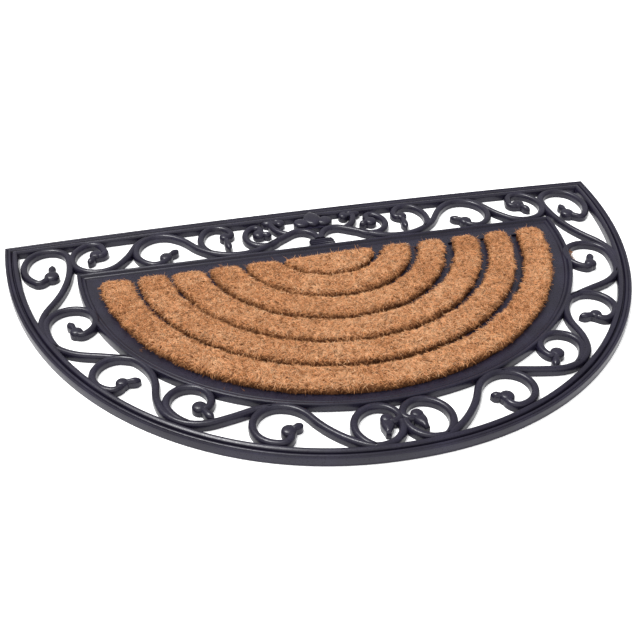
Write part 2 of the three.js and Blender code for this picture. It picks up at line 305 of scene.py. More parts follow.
# Fibres along the sides: how deep in the pile they are, where their tips are, how they lean outwards
# and sideways, in degrees, and their length as a share of the mean
WALL_DEPTH = 1.6
WALL_TIP_BOTTOM = 5.8
WALL_TIP_BELOW_TOP = 1
WALL_LEAN = {"mean": 16, "spread": 13, "least": -5, "most": 60}
WALL_SLANT = 26
WALL_LENGTH = (0.6, 1.3)
ROOT_CLEARANCE = 0.2

# How far their tips stand out of the side. It fades to a share of that towards a level above the top.
WALL_STAND = (-0.6, 1)
STAND_FADE = {"above_top": 1, "share": 0.2}

# Stray fibres that stand out of the upper edge: how deep in the pile and how far below its top they are
# rooted, how far they turn, in radians, how far they rise, in degrees, and their length as a share
STRAY_SHARE = 0.02
STRAY_DEPTH = 2
STRAY_ROOT = (5, 1)
STRAY_TURN = 0.7
STRAY_RISE = (-40, 50)
STRAY_LENGTH = (0.4, 1.1)
STRAY_TONE = (0.25, 0.8)

# A fibre is a closed sliver: three corners round its root, 0 to 2, and its tip, 3. The shares are of its
# width. One steeper than the limit is built from the X axis, because the Z axis is too close to it.
SLIVER_FACES = ((0, 2, 1), (0, 1, 3), (1, 2, 3), (2, 0, 3))
ROOT_CORNERS = 3
SLIVER_CORNERS = 4
SLIVER_WIDTH = (0.7, 1.25)
STEEP_LIMIT = 0.9

# Loose fibres on the rubber, as (x, y, spread in x, spread in y, height of what they lie on, count). The
# first two rows are the tuft beside the tray.
LOOSE_SPOTS = (
    (283, 62, 2.5, 11, 1.5, 130),
    (284, 66, 2, 7, 5, 60),
    (109.5, 117, 5, 3, 5.6, 10),
    (104, 104, 3, 8, 5.6, 8),
    (177, 75, 4, 3, 9, 5),
    (195, 17, 4, 3, 9, 5),
    (-230, -8, 5, 6, 5.6, 10),
    (-232, -41, 4, 5, 5.6, 7),
    (-150, -95, 25, 6, 5.6, 8),
    (40, -140, 60, 4, 5.6, 8),
    (-255, 100, 4, 16, 5.6, 9),
)
LOOSE_LENGTH = (2.5, 8)
LOOSE_LIFT = (0.2, 1.4)
LOOSE_SLOPE = (-0.1, 0.1)
LOOSE_TONE = (0, 0.3)
LOOSE_SEED = 97

# Patterns of the materials: how wide a patch of the rubber's mottle and a fleck on the coir are, and how
# high the rubber's grain stands
MOTTLE_SIZE = 30
FLECK_SIZE = 1.5
GRAIN_HEIGHT = 0.2

# How far the grain takes the rubber's roughness below and above its setting, and the flecks a fibre's
# tone. The colour of most fibres stands at the middle tone.
ROUGHNESS_CHANGE = (-0.06, 0.1)
FLECK_CHANGE = (-0.08, 0.08)
MIDDLE_TONE = 0.55

# What every colour and every length among the settings has
COLOUR = {"subtype": "COLOR", "size": 3, "min": 0, "max": 1}
LENGTH = {"subtype": "DISTANCE", "unit": "LENGTH"}


def linear(hex_colour):
    """An sRGB hex colour as linear red, green and blue."""
    channels = [int(hex_colour[i : i + 2], 16) / 255 for i in (1, 3, 5)]
    return [c / 12.92 if c <= 0.04045 else ((c + 0.055) / 1.055) ** 2.4 for c in channels]


def opaque(colour):
    """A colour with full alpha, as a node takes it."""
    return (*colour, 1)


# Settings


class RubberSettings(bpy.types.PropertyGroup):
    """Colours and surface of the rubber"""

    colour: bpy.props.FloatVectorProperty(
        name="Rubber",
        description="Colour of the clean rubber",
        default=linear("#191623"),
        **COLOUR,
    )
    worn_colour: bpy.props.FloatVectorProperty(
        name="Worn rubber",
        description="Paler colour of rubbed tops and of dust in the grain",
        default=linear("#232031"),
        **COLOUR,
    )
    roughness: bpy.props.FloatProperty(
        name="Roughness",
        description="Roughness of the moulded surface",
        subtype="FACTOR",
        min=0,
        max=1,
        default=0.3,
    )
    # Moulded rubber has a grain of a few tenths of a millimetre. It is drawn coarser, so that it shows.
    grain: bpy.props.FloatProperty(
        name="Grain",
        description="Width of one grain of the moulded surface",
        min=0.0003,
        max=0.01,
        default=0.0012,
        **LENGTH,
    )


class CoirSettings(bpy.types.PropertyGroup):
    """Colours, size and number of the fibres"""

    light_colour: bpy.props.FloatVectorProperty(
        name="Light fibre",
        description="Colour of the palest fibres",
        default=linear("#fdd5aa"),
        **COLOUR,
    )
    colour: bpy.props.FloatVectorProperty(
        name="Fibre",
        description="Colour of most fibres",
        default=linear("#e7a46e"),
        **COLOUR,
    )
    # The dark colour is also painted shade: on the pile's core, the fibres' roots, the pits and the sides
    dark_colour: bpy.props.FloatVectorProperty(
        name="Dark fibre",
        description="Colour of the darkest fibres and of the pile's depth",
        default=linear("#6b4226"),
        **COLOUR,
    )
    # Coir is 0.1 to 0.3 mm thick. The fibres are drawn thicker, so that they show.
    fibre_width: bpy.props.FloatProperty(
        name="Fibre width",
        description="Thickness of a fibre at its root",
        min=0.0002,
        max=0.002,
        default=0.0006,
        **LENGTH,
    )
    fibre_length: bpy.props.FloatProperty(
        name="Fibre length",
        description="Mean length of a fibre",
        min=0.002,
        max=0.012,
        default=0.0072,
        **LENGTH,
    )
    density: bpy.props.FloatProperty(
        name="Density",
        description="Fibres on one square millimetre of pile",
        min=0.2,
        max=3,
        default=1.12,
    )


class StageSettings(bpy.types.PropertyGroup):
    """Floor and lights"""

    floor_colour: bpy.props.FloatVectorProperty(
        name="Floor",
        description="Colour of the plain floor",
        default=linear("#fbfbfb"),
        **COLOUR,
    )
    floor_size: bpy.props.FloatProperty(
        name="Floor size",
        description="Side of the square floor",
        min=2,
        max=50,
        default=30,
        **LENGTH,
    )
    key_strength: bpy.props.FloatProperty(
        name="Softbox",
        description="Strength of the large soft light above and behind the mat",
        min=0,
        max=20,
        default=3.4,
    )
    key_spread: bpy.props.FloatProperty(
        name="Softbox spread",
        description="Width of the soft light, as an angle seen from the mat",
        subtype="ANGLE",
        unit="ROTATION",
        min=0,
        max=math.pi,
        default=math.radians(15),
    )
    fill_strength: bpy.props.FloatProperty(
        name="Front light",
        description="Strength of the broad soft light in front of the mat",
        min=0,
        max=20,
        default=1.25,
    )
    table_glow: bpy.props.FloatProperty(
        name="Floor glow",
        description="How strongly the white acrylic floor is lit from below",
        min=0,
        max=5,
        default=0.35,
    )
    sky_strength: bpy.props.FloatProperty(
        name="Surroundings",
        description="Strength of the white light from all around",
        min=0,
        max=10,
        default=0.6,
    )


# Shapes


def of_kind(items, kind):
    """The items that are of one kind, such as bmesh.types.BMVert."""
    return [item for item in items if isinstance(item, kind)]


def loop_of_edges(bm, points):
    """A closed loop of edges through the points."""
    verts = [bm.verts.new(point) for point in points]
    return [bm.edges.new(pair) for pair in zip(verts, verts[1:] + verts[:1])]


def carried(bm, rows):
    """A loop of edges extruded from each row of points to the next; returns its first and last edges."""
    station = bm.verts.layers.int.get("station") or bm.verts.layers.int.new("station")
    first = loop_of_edges(bm, rows[0])
    for number, edge in enumerate(first):
        shared = set(first[number - 1].verts) & set(edge.verts)
        shared.pop()[station] = number
    edges = first
    for row in rows[1:]:
        raised = bmesh.ops.extrude_edge_only(bm, edges=edges)["geom"]
        for vert in of_kind(raised, bmesh.types.BMVert):
            vert.co = row[vert[station]]
        edges = of_kind(raised, bmesh.types.BMEdge)
    return first, edges


def crowned_prism(outline, foot, shoulder, rise, steps):
    """A prism over an outline, closed above its shoulder by insets that round off its upper edge."""
    prism = bmesh.new()
    loop = loop_of_edges(prism, [(x, y, foot) for x, y in outline])
    face = bmesh.ops.contextual_create(prism, geom=loop)["faces"][0]
    raised = bmesh.ops.extrude_face_region(prism, geom=[face], use_keep_orig=True)["geom"]
    verts = of_kind(raised, bmesh.types.BMVert)
    bmesh.ops.translate(prism, verts=verts, vec=(0, 0, shoulder - foot))
    top = of_kind(raised, bmesh.types.BMFace)[0]
    for step in range(steps):
        start = math.pi / 2 * step / steps
        end = math.pi / 2 * (step + 1) / steps
        inwards = rise * (math.cos(start) - math.cos(end))
        upwards = rise * (math.sin(end) - math.sin(start))
        bmesh.ops.inset_region(prism, faces=[top], thickness=inwards, depth=upwards, use_even_offset=True)
    return prism


def add_part(whole, part):
    """Moves a closed part into the bmesh of the whole piece, with its faces pointing outwards."""
    bmesh.ops.recalc_face_normals(part, faces=part.faces)
    mesh = bpy.data.meshes.new("part")
    part.to_mesh(mesh)
    part.free()
    whole.from_mesh(mesh)
    bpy.data.meshes.remove(mesh)


def finished_piece(name, mesh, node, material):
    """Makes the mesh a piece that rides on the mat and stands for its CAD node, if it has one."""
    piece = bpy.data.objects.new(name, mesh)
    bpy.context.scene.collection.objects.link(piece)
    mesh.materials.append(material)
    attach(piece, BODY)
    if node:
        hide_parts(node)


def bowed(x, y):
    """The Y on the finished mat, with its bowed back edge, of a plan point of the tables.

    The whole mat moves forward by half the rise, which keeps the origin under the middle of its box.
    """
    share = np.clip((y - BOW["from_y"]) / (MAT["edge_y"] - BOW["from_y"]), 0, 1)
    across = x / MAT["half_width"]
    return y + BOW["rise"] * (share * (1 - across**2) - 0.5)


def dome_points(dome, inset, height):
    """A half round outline moved inwards: round the curve from its left corner, and back along the edge."""
    half_width = dome["half_width"]
    depth = dome["depth"]
    power = dome["power"]
    first = math.asin((inset / depth) ** (power / 2))
    points = []
    for i in range(dome["steps"] + 1):
        angle = math.pi - first - (math.pi - 2 * first) * i / dome["steps"]
        side = math.copysign(1, math.cos(angle))
        x = abs(math.cos(angle)) ** (2 / power)
        y = max(math.sin(angle), 0) ** (2 / power)
        outward = Vector((side * x ** (power - 1) / half_width, -(y ** (power - 1)) / depth)).normalized()
        point = Vector((side * x * half_width, dome["edge_y"] - y * depth)) - outward * inset
        points.append(Vector((*point, height)))
    points[0].y = dome["edge_y"] - inset
    points[-1].y = dome["edge_y"] - inset
    edge = [points[-1].lerp(points[0], i / dome["edge_steps"]) for i in range(1, dome["edge_steps"])]
    return points + edge


def finished_mesh(name, bm):
    """The mesh of a form drawn in the tables' millimetres: bowed with the mat, and in metres."""
    for vert in bm.verts:
        vert.co.y = bowed(vert.co.x, vert.co.y)
    bmesh.ops.scale(bm, verts=bm.verts, vec=(MM, MM, MM))
    mesh = bpy.data.meshes.new(name)
    bm.to_mesh(mesh)
    bm.free()
    return mesh


def make_rim(whole):
    """The rim's section carried round the outline, with mitred corners."""
    rim = bmesh.new()
    rows = [dome_points(MAT, inset, top) for inset, top in RIM_PROFILE]
    outer, inner = carried(rim, rows)
    bmesh.ops.triangle_fill(rim, edges=outer + inner, use_beauty=True)
    add_part(whole, rim)


def coir_outline(inner, outer, height, margin):
    """Outline of one insert's pocket: a half ring or, without an inner radius, a half disc."""
    rise = COIR_END_Y + margin - COIR_CENTRE_Y
    points = []
    arcs = [(outer + margin, 1)]
    if inner:
        arcs.append((inner - margin, -1))
    for radius, direction in arcs:
        end = math.asin(rise / radius)
        for i in range(POCKET_ARC_STEPS + 1):
            share = i / POCKET_ARC_STEPS if direction > 0 else 1 - i / POCKET_ARC_STEPS
            angle = -math.pi - end + (math.pi + 2 * end) * share
            points.append((radius * math.cos(angle), COIR_CENTRE_Y + radius * math.sin(angle), height))
    return points


def make_tray(whole):
    """The tray: a plate with a beaded edge and a pocket for each insert."""
    tray = bmesh.new()
    rows = [dome_points(TRAY, inset, top) for inset, top in TRAY_PROFILE]
    outline, land = carried(tray, rows)
    bmesh.ops.contextual_create(tray, geom=outline)
    for inner, outer in COIR_RINGS.values():
        walls = [coir_outline(inner, outer, height, POCKET_CLEARANCE) for height in (LAND_TOP, POCKET_FLOOR)]
        brim, floor = carried(tray, walls)
        bmesh.ops.contextual_create(tray, geom=floor)
        land += brim
    bmesh.ops.triangle_fill(tray, edges=land, use_beauty=True)
    add_part(whole, tray)


def left_of(heading):
    """The direction to the left of a heading in radians."""
    return Vector((-math.sin(heading), math.cos(heading), 0))


def make_bar(half, scroll):
    """A scroll bar: one section spun along the arcs, each about its own centre."""
    bar = bmesh.new()
    x, y, heading = scroll["start"]
    point = Vector((x, y, 0))
    heading = math.radians(heading)
    left = left_of(heading)
    edges = loop_of_edges(bar, [point + left * across + Vector((0, 0, top)) for across, top in BAR_SECTION])
    for radius, turn in scroll["arcs"]:
        reach = left_of(heading) * math.copysign(radius, turn)
        centre = point + reach
        sweep = math.radians(turn)
        steps = math.ceil(max(abs(turn) / BAR_TURN_STEP, radius * abs(sweep) / BAR_LENGTH_STEP))
        spun = bmesh.ops.spin(bar, geom=edges, cent=centre, axis=(0, 0, 1), angle=sweep, steps=steps)
        edges = of_kind(spun["geom_last"], bmesh.types.BMEdge)
        heading += sweep
        point = centre - Matrix.Rotation(sweep, 3, "Z") @ reach
    bmesh.ops.holes_fill(bar, edges=bar.edges, sides=0)
    add_part(half, bar)


def make_ball(half, x, y, radius):
    """A low ball: its section spun once about its own axis, and closed at the poles."""
    ball = bmesh.new()
    verts = [ball.verts.new((radius * share, 0, height)) for share, height in BALL_PROFILE]
    edges = [ball.edges.new(pair) for pair in zip(verts, verts[1:])]
    bmesh.ops.spin(
        ball,
        geom=verts + edges,
        cent=(0, 0, 0),
        axis=(0, 0, 1),
        angle=2 * math.pi,
        steps=BALL_STEPS,
        use_merge=True,
    )
    bmesh.ops.remove_doubles(ball, verts=ball.verts, dist=MERGE_DISTANCE)
    bmesh.ops.translate(ball, verts=ball.verts, vec=(x, y, 0))
    add_part(half, ball)


def domed(outline, centre, section):
    """A closed form whose outline is drawn in towards its centre as its section rises."""
    form = bmesh.new()
    middle = Vector(centre)
    rows = []
    for share, height in section:
        points = [middle.lerp(Vector(point), share) for point in outline]
        rows.append([Vector((*point, height)) for point in points])
    foot, top = carried(form, rows)
    bmesh.ops.contextual_create(form, geom=foot)
    bmesh.ops.contextual_create(form, geom=top)
    return form


def make_leaf(half, scroll):
    """A leaf that grows out of its ball."""
    x, y, _ = scroll["start"]
    tip_x, tip_y = scroll["leaf_tip"]
    length = math.hypot(tip_x - x, tip_y - y)
    shape = scroll.get("leaf", BUD_OUTLINE)
    right = [(share * length, -half_width) for share, half_width in shape]
    left = [(share * length, half_width) for share, half_width in reversed(shape)]
    leaf = domed(right + left, (length * LEAF_CENTRE, 0), LEAF_SECTION)
    turn = Matrix.Rotation(math.atan2(tip_y - y, tip_x - x), 3, "Z")
    bmesh.ops.rotate(leaf, verts=leaf.verts, cent=(0, 0, 0), matrix=turn)
    bmesh.ops.translate(leaf, verts=leaf.verts, vec=(x, y, 0))
    add_part(half, leaf)


def make_scrollwork(whole):
    """The right-hand scrolls and lobe, and the same mirrored to the left."""
    half = bmesh.new()
    for scroll in SCROLLS.values():
        make_bar(half, scroll)
        make_ball(half, *scroll["start"][:2], scroll["ball"])
        make_leaf(half, scroll)
    add_part(half, domed(LOBE_OUTLINE, LOBE_CENTRE, LOBE_SECTION))
    everything = list(half.verts) + list(half.edges) + list(half.faces)
    bmesh.ops.mirror(half, geom=everything, matrix=Matrix.Identity(4), axis="X")
    add_part(whole, half)


def rectangle(half_width, bottom_y, top_y, rounding=0):
    """Outline of a rectangle across the mat's middle line, with its two back corners rounded."""
    points = [(-half_width, bottom_y), (half_width, bottom_y)]
    for side in (1, -1):
        for i in range(CORNER_STEPS + 1):
            share = i / CORNER_STEPS if side > 0 else 1 - i / CORNER_STEPS
            x = half_width - rounding + rounding * math.cos(math.pi / 2 * share)
            y = top_y - rounding + rounding * math.sin(math.pi / 2 * share)
            points.append((side * x, y))
            if not rounding:
                break
    return points


def make_flower(whole):
    """The pointed petal and the short body that joins it to its lobes."""
    left = [(-x, y) for x, y in reversed(PETAL_OUTLINE[:-1])]
    add_part(whole, domed(list(PETAL_OUTLINE) + left, PETAL_CENTRE, PETAL_SECTION))
    outline = rectangle(FLOWER_BODY["half_width"], FLOWER_BODY["bottom_y"], FLOWER_BODY["top_y"])
    rise = FLOWER_BODY["crown"]
    add_part(whole, crowned_prism(outline, 0, FLOWER_BODY["top"] - rise, rise, CROWN_STEPS))


def make_block(whole):
    """The block under the flower, with round ribs across it."""
    half_width = BLOCK["half_width"]
    bottom_y = BLOCK["bottom_y"]
    top_y = BLOCK["top_y"]
    rise = BLOCK["crown"]
    outline = rectangle(half_width, bottom_y, top_y, BLOCK_RADIUS)
    add_part(whole, crowned_prism(outline, 0, BLOCK["top"] - rise, rise, CROWN_STEPS))
    pitch = (top_y - bottom_y) / RIBS["count"]
    half_rib = pitch * RIBS["share"] / 2
    shoulder = BLOCK["top"] - RIBS["sink"]
    for row in range(RIBS["count"]):
        middle = bottom_y + pitch * (row + 0.5)
        beyond = max(middle - (top_y - BLOCK_RADIUS), 0)
        shorter = BLOCK_RADIUS - math.sqrt(BLOCK_RADIUS**2 - beyond**2)
        outline = rectangle(half_width - rise - shorter, middle - half_rib, middle + half_rib)
        add_part(whole, crowned_prism(outline, RIBS["foot"], shoulder, RIBS["rise"], RIB_CROWN_STEPS))


# Materials


def add_node(tree, kind, inputs=None, stops=(), **settings):
    """Adds a node with its settings, its links and, for a ramp, its (place, linear colour) stops.

    An input is a plain value, or another node's output to link.
    """
    node = tree.nodes.new(kind)
    for name, value in settings.items():
        setattr(node, name, value)
    for name, value in (inputs or {}).items():
        if isinstance(value, bpy.types.NodeSocket):
            tree.links.new(value, node.inputs[name])
        else:
            node.inputs[name].default_value = value
    for place, _ in stops[1:-1]:
        node.color_ramp.elements.new(place)
    for number, (place, colour) in enumerate(stops):
        node.color_ramp.elements[number].position = place
        node.color_ramp.elements[number].color = opaque(colour)
    return node


def new_material(name):
    """An empty node material and its tree."""
    material = bpy.data.materials.new(name)
    material.use_nodes = True
    material.node_tree.nodes.clear()
    return material, material.node_tree


def moulded_rubber(settings):
    """Rubber crumb, pressed in a hot mould with a fine grain."""
    # Satin charcoal: broad soft highlights, a slight mottle, and a paler tone where it is rubbed or dusty
    material, tree = new_material("Moulded satin rubber")
    place = add_node(tree, "ShaderNodeTexCoord").outputs["Object"]
    mottle = add_node(
        tree,
        "ShaderNodeTexNoise",
        {"Vector": place, "Scale": 1 / (MOTTLE_SIZE * MM), "Detail": 4, "Roughness": 0.6},
    ).outputs["Fac"]
    grain = add_node(
        tree,
        "ShaderNodeTexNoise",
        {"Vector": place, "Scale": 1 / settings.grain, "Detail": 3, "Roughness": 0.65},
    ).outputs["Fac"]
    patches = add_node(tree, "ShaderNodeMath", {0: mottle, 1: grain}, operation="MULTIPLY").outputs[0]
    worn = add_node(
        tree,
        "ShaderNodeMapRange",
        {"Value": patches, "From Min": 0.16, "From Max": 0.42, "To Min": 0, "To Max": 1},
    ).outputs["Result"]
    colour = add_node(
        tree,
        "ShaderNodeValToRGB",
        {"Fac": worn},
        [(0, settings.colour), (1, settings.worn_colour)],
    ).outputs["Color"]
    roughness = add_node(
        tree,
        "ShaderNodeMapRange",
        {
            "Value": grain,
            "From Min": 0.3,
            "From Max": 0.7,
            "To Min": settings.roughness + ROUGHNESS_CHANGE[0],
            "To Max": settings.roughness + ROUGHNESS_CHANGE[1],
        },
    ).outputs["Result"]
    bump = add_node(
        tree,
        "ShaderNodeBump",
        {"Height": grain, "Strength": 0.35, "Distance": GRAIN_HEIGHT * MM},
    )
    surface = add_node(
        tree,
        "ShaderNodeBsdfPrincipled",
        {
            "Base Color": colour,
            "Roughness": roughness,
            "Normal": bump.outputs["Normal"],
            "IOR": 1.5,
            "Specular IOR Level": 0.3,
        },
    )
    add_node(tree, "ShaderNodeOutputMaterial", {"Surface": surface.outputs["BSDF"]})
    return material


def coir_pile(settings):
    """Coconut fibre, cut and matted."""
    # Dry, dull and golden brown. Each fibre carries its own tone, and small flecks vary it. The tone also
    # holds
    # painted shade: darker at its root, where little light comes, in the pits, over the rounded edge and
    # down the sides.
    material, tree = new_material("Matted coir pile")
    tone = add_node(tree, "ShaderNodeAttribute", attribute_name="fibre_tone_and_shade").outputs["Fac"]
    place = add_node(tree, "ShaderNodeTexCoord").outputs["Object"]
    flecks = add_node(
        tree,
        "ShaderNodeTexNoise",
        {"Vector": place, "Scale": 1 / (FLECK_SIZE * MM), "Detail": 2, "Roughness": 0.5},
    ).outputs["Fac"]
    uneven = add_node(
        tree,
        "ShaderNodeMapRange",
        {
            "Value": flecks,
            "From Min": 0.25,
            "From Max": 0.75,
            "To Min": FLECK_CHANGE[0],
            "To Max": FLECK_CHANGE[1],
        },
    ).outputs["Result"]
    shade = add_node(tree, "ShaderNodeMath", {0: tone, 1: uneven}, operation="ADD").outputs[0]
    stops = [(0, settings.dark_colour), (MIDDLE_TONE, settings.colour), (1, settings.light_colour)]
    colour = add_node(tree, "ShaderNodeValToRGB", {"Fac": shade}, stops).outputs["Color"]
    surface = add_node(
        tree,
        "ShaderNodeBsdfPrincipled",
        {"Base Color": colour, "Roughness": 0.85, "IOR": 1.5, "Specular IOR Level": 0.25},
    )
    add_node(tree, "ShaderNodeOutputMaterial", {"Surface": surface.outputs["BSDF"]})
    return material


def lit_acrylic(settings):
    """White acrylic sheet, cast matt and lit from below."""
    # Even and white, so that hardly a shadow shows on it
    material, tree = new_material("Matt white acrylic")
    surface = add_node(
        tree,
        "ShaderNodeBsdfPrincipled",
        {
            "Base Color": opaque(settings.floor_colour),
            "Roughness": 1,
            "Emission Color": opaque(settings.floor_colour),
            "Emission Strength": settings.table_glow,
        },
    )
    add_node(tree, "ShaderNodeOutputMaterial", {"Surface": surface.outputs["BSDF"]})
    return material


# Coir pile


def lumps(x, y, size, rng):
    """Smooth random lumps of one size over the plan, from -1 to 1."""
    reach = MAT["half_width"] + size
    count = int(2 * reach / size) + LATTICE_MARGIN
    lattice = rng.uniform(-1, 1, (count, count))
    u = (x + reach) / size
    v = (y + reach) / size
    column = np.floor(u).astype(int)
    row = np.floor(v).astype(int)
    s = u - column
    t = v - row
    s = s * s * (3 - 2 * s)
    t = t * t * (3 - 2 * t)
    low = lattice[column, row] * (1 - s) + lattice[column + 1, row] * s
    high = lattice[column, row + 1] * (1 - s) + lattice[column + 1, row + 1] * s
    return low * (1 - t) + high * t


def spread(x, y):
    """How far the pile stands out over its insert's own edge at each plan point."""
    angle = np.arctan2(y - COIR_CENTRE_Y, x)
    rng = np.random.default_rng(SPREAD_SEED)
    even = SPREAD["mean"] - SPREAD["left"] * np.cos(angle) - SPREAD["front"] * np.sin(angle)
    uneven = SPREAD["lumps"] * lumps(x, y, LUMP_SIZE, rng) + SPREAD["tufts"] * lumps(x, y, TUFT_SIZE, rng)
    return even + uneven


def edge_of_pile(x, y, inner, outer):
    """Depth of each plan point inside its insert's pile, and the outward direction near its edge."""
    radius = np.hypot(x, y - COIR_CENTRE_Y)
    radial = np.stack([x / radius, (y - COIR_CENTRE_Y) / radius], 1)
    radius = radius - OUTWARD_SHIFT * radial[:, 0] ** 2
    out = spread(x, y)
    to_outer = outer - radius
    to_inner = radius - inner if inner else np.full_like(radius, outer)
    to_side = np.minimum(to_outer, to_inner) + out
    side = np.where((to_outer < to_inner)[:, None], radial, -radial)
    shortfall = END_SHORTFALL["mean"] - END_SHORTFALL["left"] * radial[:, 0]
    to_end = COIR_END_Y - y - shortfall
    near_side = np.maximum(CORNER_ROUNDING - to_side, 0)
    near_end = np.maximum(CORNER_ROUNDING - to_end, 0)
    near = np.hypot(near_side, near_end)
    depth = np.where(near > 0, CORNER_ROUNDING - near, np.minimum(to_side, to_end))
    outward = side * near_side[:, None]
    outward[:, 1] += near_end
    length = np.hypot(outward[:, 0], outward[:, 1])
    length[length == 0] = 1
    return depth, outward / length[:, None]


def random_angles(table, count, rng):
    """Random angles in radians, from a table of their mean, spread and limits in degrees."""
    angles = rng.normal(table["mean"], table["spread"], count)
    return np.radians(np.clip(angles, table["least"], table["most"]))


def plan_points(count, inner, outer, deepest, rng):
    """Even random plan points of one insert's pile that lie no deeper than a distance from its edge."""
    most = sum(SPREAD.values()) + OUTWARD_SHIFT
    found = []
    total = 0
    while total < count:
        radius = np.sqrt(rng.uniform(max(inner - most, 0) ** 2, (outer + most) ** 2, count))
        angle = rng.uniform(-math.pi, 0, count)
        x = radius * np.cos(angle)
        y = COIR_CENTRE_Y + radius * np.sin(angle)
        depth, _ = edge_of_pile(x, y, inner, outer)
        keep = (depth > 0) & (depth < deepest)
        found.append(np.stack([x[keep], y[keep]], 1))
        total += keep.sum()
    return np.concatenate(found)[:count].T


def top_fibres(count, inner, outer, length, rng):
    """Roots, tips and tones of the fibres that lie over the top of one insert."""
    x, y = plan_points(count, inner, outer, outer, rng)
    depth, outward = edge_of_pile(x, y, inner, outer)
    edge = np.clip(EDGE_ROUNDING - depth, 0, None)
    drop = EDGE_ROUNDING - np.sqrt(np.maximum(EDGE_ROUNDING**2 - edge**2, 0))
    pits = lumps(x, y, PIT_SIZE, rng) > PIT_LEVEL
    height = COIR_TOP - TOP_SINK - drop - PIT_DEPTH * pits
    height += TOP_BUMPS["lumps"] * lumps(x, y, LUMP_SIZE, rng)
    height += TOP_BUMPS["tufts"] * lumps(x, y, TUFT_SIZE, rng)
    height += rng.normal(0, TOP_BUMPS["single"], count)
    tilt = random_angles(TOP_TILT, count, rng)
    heading = math.pi * (lumps(x, y, LUMP_SIZE, rng) + lumps(x, y, TUFT_SIZE, rng))
    heading += rng.normal(0, TOP_TURN, count)
    flat = np.stack([np.cos(heading), np.sin(heading)], 1)
    flat = flat + outward * (EDGE_LEAN * np.clip(1 - depth / EDGE_REACH, 0, 1))[:, None]
    flat /= np.hypot(flat[:, 0], flat[:, 1])[:, None]
    run = length * rng.uniform(*TOP_LENGTH, count)
    along = np.column_stack([flat * np.sin(tilt)[:, None], np.cos(tilt)])
    middle = np.column_stack([x, y, height])
    tone = TOP_TONE["mean"] + TOP_TONE["spread"] * rng.standard_normal(count)
    clumps = TOP_TONE["lumps"] * lumps(x, y, TUFT_SIZE, rng)
    tone += clumps + TOP_TONE["patches"] * lumps(x, y, PATCH_SIZE, rng)
    # Painted shade: fibres in the pits and over the rounded upper edge are made darker
    tone -= PIT_PAINTED_SHADE * pits + EDGE_PAINTED_SHADE * drop / EDGE_ROUNDING
    tone -= SIDE_TONE_DROP * x**2 / (x**2 + (y - COIR_CENTRE_Y) ** 2)
    dark = rng.random(count) < DARK_FIBRE_SHARE
    tone[dark] = rng.uniform(*DARK_FIBRE_TONE, dark.sum())
    root = middle - along * (run * ROOT_SHARE)[:, None]
    tip = middle + along * (run * (1 - ROOT_SHARE))[:, None]
    return root, tip, tone


def wall_fibres(count, inner, outer, length, rng):
    """Roots, tips and tones of the fibres that stand along the sides of one insert."""
    x, y = plan_points(count, inner, outer, WALL_DEPTH, rng)
    _, outward = edge_of_pile(x, y, inner, outer)
    highest = COIR_TOP - WALL_TIP_BELOW_TOP
    height = rng.uniform(WALL_TIP_BOTTOM, highest, count)
    sideways = np.stack([-outward[:, 1], outward[:, 0]], 1)
    slant = np.radians(rng.normal(0, WALL_SLANT, count))
    lean = random_angles(WALL_LEAN, count, rng)
    run = length * rng.uniform(*WALL_LENGTH, count)
    flat = outward * np.sin(lean)[:, None] + sideways * (np.sin(slant) * np.cos(lean))[:, None]
    along = np.column_stack([flat, np.cos(lean) * np.cos(slant)])
    below = COIR_TOP + STAND_FADE["above_top"] - height
    stand = rng.uniform(*WALL_STAND, count) * np.clip(below / EDGE_ROUNDING, STAND_FADE["share"], 1)
    tip = np.column_stack([x, y, height])
    tip[:, :2] += outward * stand[:, None]
    root = tip - along * run[:, None]
    root[:, 2] = np.maximum(root[:, 2], COIR_BOTTOM + ROOT_CLEARANCE)
    # Painted shade: the side fibres are far darker than those on top and darkest near the foot of the side;
    # the spread and lumps vary them at random
    share = (height - WALL_TIP_BOTTOM) / (highest - WALL_TIP_BOTTOM)
    tone = WALL_TONE_AND_SHADE["low"] + (WALL_TONE_AND_SHADE["high"] - WALL_TONE_AND_SHADE["low"]) * share
    single = WALL_TONE_AND_SHADE["spread"] * rng.standard_normal(count)
    tone += single + WALL_TONE_AND_SHADE["lumps"] * lumps(x, y, LUMP_SIZE, rng)
    return root, tip, tone


def stray_fibres(count, inner, outer, length, rng):
    """Roots, tips and tones of single fibres that stand out of the upper edge of one insert."""
    x, y = plan_points(count, inner, outer, STRAY_DEPTH, rng)
    _, outward = edge_of_pile(x, y, inner, outer)
    turn = rng.normal(0, STRAY_TURN, count)
    flat = np.stack([
        outward[:, 0] * np.cos(turn) - outward[:, 1] * np.sin(turn),
        outward[:, 0] * np.sin(turn) + outward[:, 1] * np.cos(turn),
    ], 1)
    rise = np.radians(rng.uniform(*STRAY_RISE, count))
    run = length * rng.uniform(*STRAY_LENGTH, count)
    lowest, highest = (COIR_TOP - below for below in STRAY_ROOT)
    root = np.column_stack([x, y, rng.uniform(lowest, highest, count)])
    along = np.column_stack([flat * np.cos(rise)[:, None], np.sin(rise)])
    return root, root + along * run[:, None], rng.uniform(*STRAY_TONE, count)


